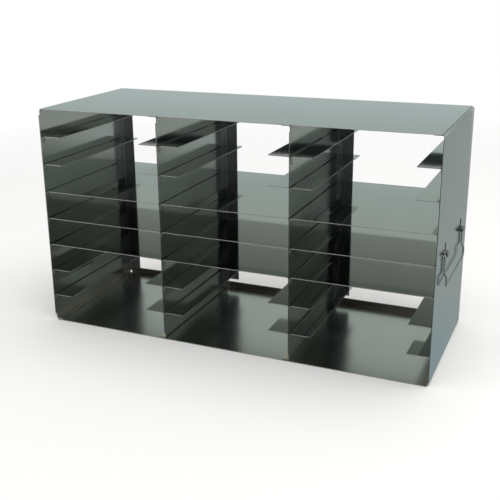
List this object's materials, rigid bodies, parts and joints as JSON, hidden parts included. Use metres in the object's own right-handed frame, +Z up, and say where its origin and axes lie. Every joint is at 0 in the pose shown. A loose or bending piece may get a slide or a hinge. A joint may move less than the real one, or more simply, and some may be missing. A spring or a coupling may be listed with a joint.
{
  "type": "freezer storage rack",
  "caption": "Side-access freezer rack of folded stainless sheet, with bays, ledges and shelves for storage boxes and a hinged wire handle.",
  "frame": {"origin": "centre of the bottom face", "axes": "+X towards the end panel with the handle, +Y from the open front to the back, +Z up"},
  "size_m": [0.5494, 0.213, 0.309],
  "materials": {
    "panel_steel": "cold-rolled stainless sheet with a smooth mill finish",
    "shelf_steel": "cold-rolled stainless sheet with a smooth mill finish",
    "wire_steel": "drawn stainless wire"
  },
  "bodies": {
    "rack": {"top_panel": "panel_steel", "bottom_panel": "panel_steel", "left_end_panel": "panel_steel", "right_end_panel": "panel_steel", "divider_1": "panel_steel", "divider_2": "panel_steel", "bay1_level3_shelf": "shelf_steel", "bay1_level4_shelf": "shelf_steel", "bay1_level5_shelf": "shelf_steel", "bay2_level3_shelf": "shelf_steel", "bay2_level4_shelf": "shelf_steel", "bay2_level5_shelf": "shelf_steel", "bay3_level3_shelf": "shelf_steel", "bay3_level4_shelf": "shelf_steel", "bay3_level5_shelf": "shelf_steel", "bay1_level1_left_ledge": "shelf_steel", "bay1_level1_right_ledge": "shelf_steel", "bay1_level2_left_ledge": "shelf_steel", "bay1_level2_right_ledge": "shelf_steel", "bay1_level6_left_ledge": "shelf_steel", "bay1_level6_right_ledge": "shelf_steel", "bay1_level7_left_ledge": "shelf_steel", "bay1_level7_right_ledge": "shelf_steel", "bay2_level1_left_ledge": "shelf_steel", "bay2_level1_right_ledge": "shelf_steel", "bay2_level2_left_ledge": "shelf_steel", "bay2_level2_right_ledge": "shelf_steel", "bay2_level6_left_ledge": "shelf_steel", "bay2_level6_right_ledge": "shelf_steel", "bay2_level7_left_ledge": "shelf_steel", "bay2_level7_right_ledge": "shelf_steel", "bay3_level1_left_ledge": "shelf_steel", "bay3_level1_right_ledge": "shelf_steel", "bay3_level2_left_ledge": "shelf_steel", "bay3_level2_right_ledge": "shelf_steel", "bay3_level6_left_ledge": "shelf_steel", "bay3_level6_right_ledge": "shelf_steel", "bay3_level7_left_ledge": "shelf_steel", "bay3_level7_right_ledge": "shelf_steel"},
    "handle": {"handle": "wire_steel"}
  },
  "joints": [
    {"name": "handle_fold", "type": "hinge", "parent": "rack", "child": "handle", "pos_m": [0.2732, 0, 0.15415], "axis": [0, -1, 0], "range_deg": [0, 170]}
  ]
}
